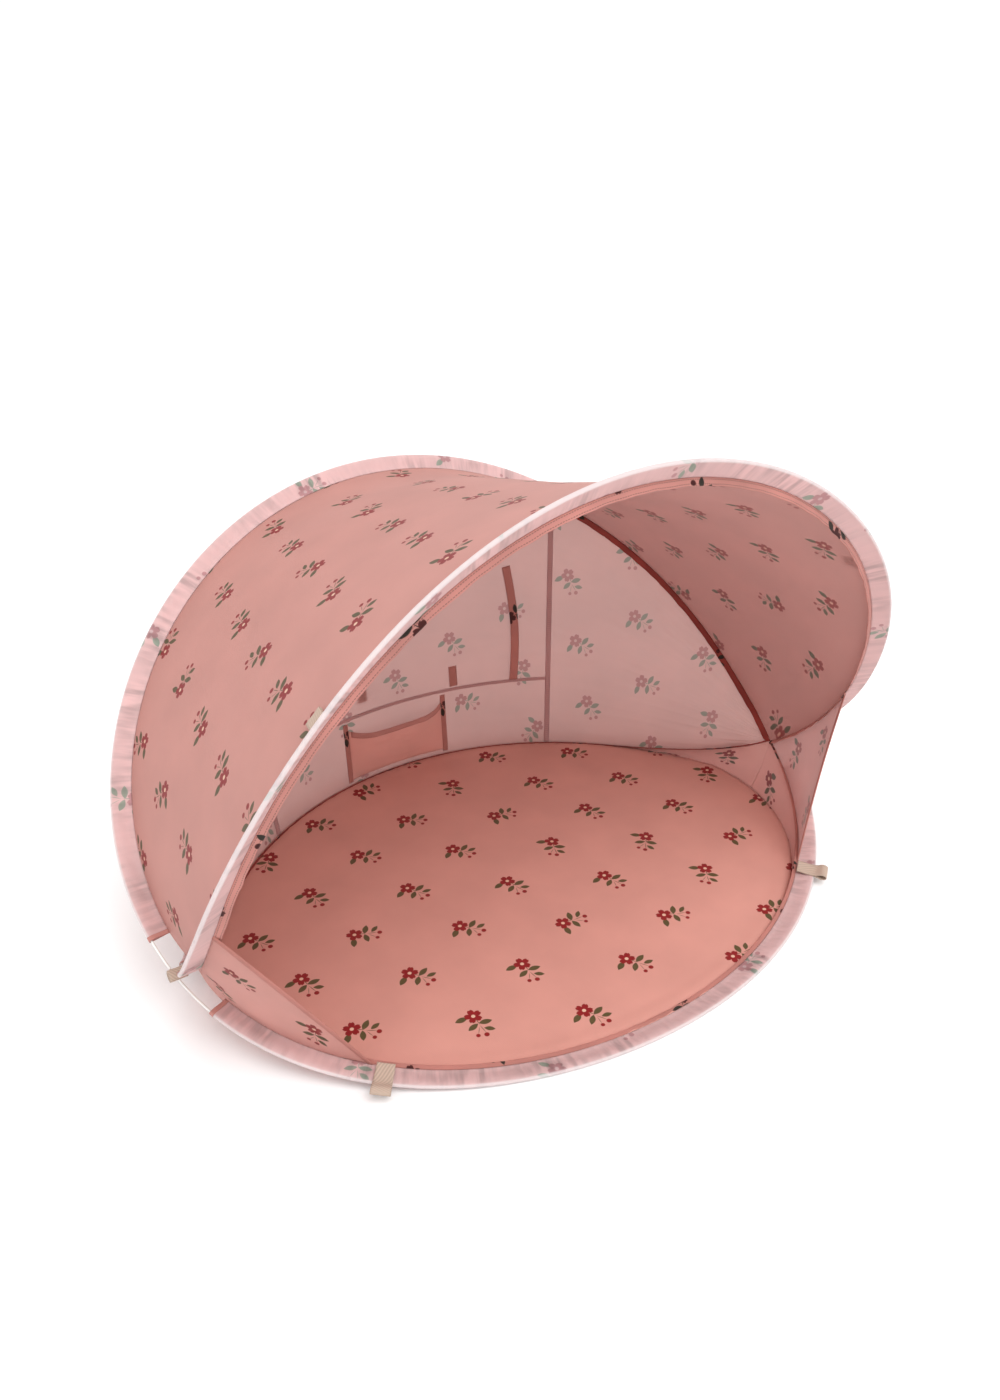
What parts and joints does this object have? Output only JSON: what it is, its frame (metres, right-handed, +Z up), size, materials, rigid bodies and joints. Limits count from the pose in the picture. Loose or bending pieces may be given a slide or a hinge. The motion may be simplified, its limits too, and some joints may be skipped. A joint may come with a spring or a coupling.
{
  "type": "beach tent",
  "caption": "Low pop-up beach tent for a child: crossed spring-wire hoops in cloth sleeves, canopy, sheer back wall with pocket and vent flap, oval floor.",
  "frame": {"origin": "on the ground, in the middle of the tent's outline", "axes": "+Z up, -Y towards the open front, +X to the right for someone who looks in"},
  "size_m": [1.2078, 0.8841, 0.775],
  "materials": {
    "spring_wire": "white-coated round spring steel wire, satin",
    "ferrule_steel": "crimped steel tube",
    "sleeve_cloth": "thin undyed-pink polyester, translucent, gathered",
    "canopy_cloth": "thin pink polyester, printed outside with small sprigs",
    "wall_cloth": "sheer pink polyester, the print shows through",
    "floor_cloth": "coated pink polyester, printed on the upper side",
    "side_cloth": "sheer pink polyester",
    "pocket_cloth": "double layer of pink polyester",
    "trim_cloth": "dark red binding and ribbon, plain weave",
    "webbing": "tan woven webbing, 25 mm"
  },
  "bodies": {
    "rear_base": {"rear_ground_wire": "spring_wire", "rear_ground_sleeve": "sleeve_cloth", "rear_ferrule": "ferrule_steel", "floor_rear": "floor_cloth", "gusset_rear_left": "side_cloth", "gusset_rear_right": "side_cloth", "crossing_strap_left": "webbing", "crossing_strap_right": "webbing", "back_wall_left": "wall_cloth", "back_wall_right": "wall_cloth", "back_wall_lower": "wall_cloth", "seam_tape_lower": "trim_cloth", "pocket": "pocket_cloth", "pocket_hem": "trim_cloth", "pocket_binding_left": "trim_cloth", "pocket_binding_right": "trim_cloth"},
    "rear_arch": {"rear_arch_wire": "spring_wire", "rear_arch_sleeve": "sleeve_cloth", "vent_flap": "wall_cloth", "seam_tape_left": "trim_cloth", "seam_tape_right": "trim_cloth", "long_tie": "trim_cloth", "short_tie": "trim_cloth", "outer_tie": "trim_cloth"},
    "front_arch": {"front_arch_wire": "spring_wire", "front_arch_sleeve": "sleeve_cloth", "canopy": "canopy_cloth", "wing_left": "side_cloth", "wing_right": "side_cloth", "wing_hem_left": "trim_cloth", "wing_hem_right": "trim_cloth"},
    "front_base": {"front_ground_wire": "spring_wire", "front_ground_sleeve": "sleeve_cloth", "front_ferrule": "ferrule_steel", "floor_front": "floor_cloth", "gusset_front_left": "side_cloth", "gusset_front_right": "side_cloth"},
    "peg_loop_left": {"peg_loop_left": "webbing"},
    "peg_loop_right": {"peg_loop_right": "webbing"},
    "arch_loop_left": {"arch_loop_left": "webbing"},
    "arch_loop_right": {"arch_loop_right": "webbing"}
  },
  "joints": [
    {"name": "floor_fold", "type": "hinge", "parent": "rear_base", "child": "front_base", "pos_m": [0, -0.05145, 0.09592], "axis": [-1, 0, 0], "range_deg": [0, 148], "stiffness_Nm_per_rad": 0.4, "springref_deg": -28.65},
    {"name": "rear_arch_fold", "type": "hinge", "parent": "rear_base", "child": "rear_arch", "pos_m": [0, -0.05145, 0.09592], "axis": [-1, 0, 0], "range_deg": [0, 47.4], "deforming": ["back_wall_left", "back_wall_right", "vent_flap", "seam_tape_left", "seam_tape_right", "long_tie", "short_tie", "outer_tie"]},
    {"name": "front_arch_fold", "type": "hinge", "parent": "rear_arch", "child": "front_arch", "pos_m": [0, -0.05145, 0.09592], "axis": [-1, 0, 0], "range_deg": [0, 60], "deforming": ["canopy", "wing_left", "wing_right", "wing_hem_left", "wing_hem_right"]},
    {"name": "peg_loop_left_swing", "type": "hinge", "parent": "front_base", "child": "peg_loop_left", "pos_m": [-0.38856, -0.28667, 0.02094], "axis": [-0.7886, 0.605, 0.1099], "range_deg": [0, 150]},
    {"name": "peg_loop_right_swing", "type": "hinge", "parent": "front_base", "child": "peg_loop_right", "pos_m": [0.38856, -0.28667, 0.02094], "axis": [-0.7886, -0.605, -0.1099], "range_deg": [0, 150]},
    {"name": "arch_loop_left_swing", "type": "hinge", "parent": "front_arch", "child": "arch_loop_left", "pos_m": [-0.4341, -0.27551, 0.54893], "axis": [0.6482, -0.1149, 0.7528], "range_deg": [0, 90]},
    {"name": "arch_loop_right_swing", "type": "hinge", "parent": "front_arch", "child": "arch_loop_right", "pos_m": [0.4341, -0.27551, 0.54893], "axis": [0.6482, 0.1149, -0.7528], "range_deg": [0, 90]}
  ],
  "couplings": [
    {"joint": "rear_arch_fold", "follows": "floor_fold", "ratio": 0.32},
    {"joint": "front_arch_fold", "follows": "floor_fold", "ratio": 0.405}
  ]
}
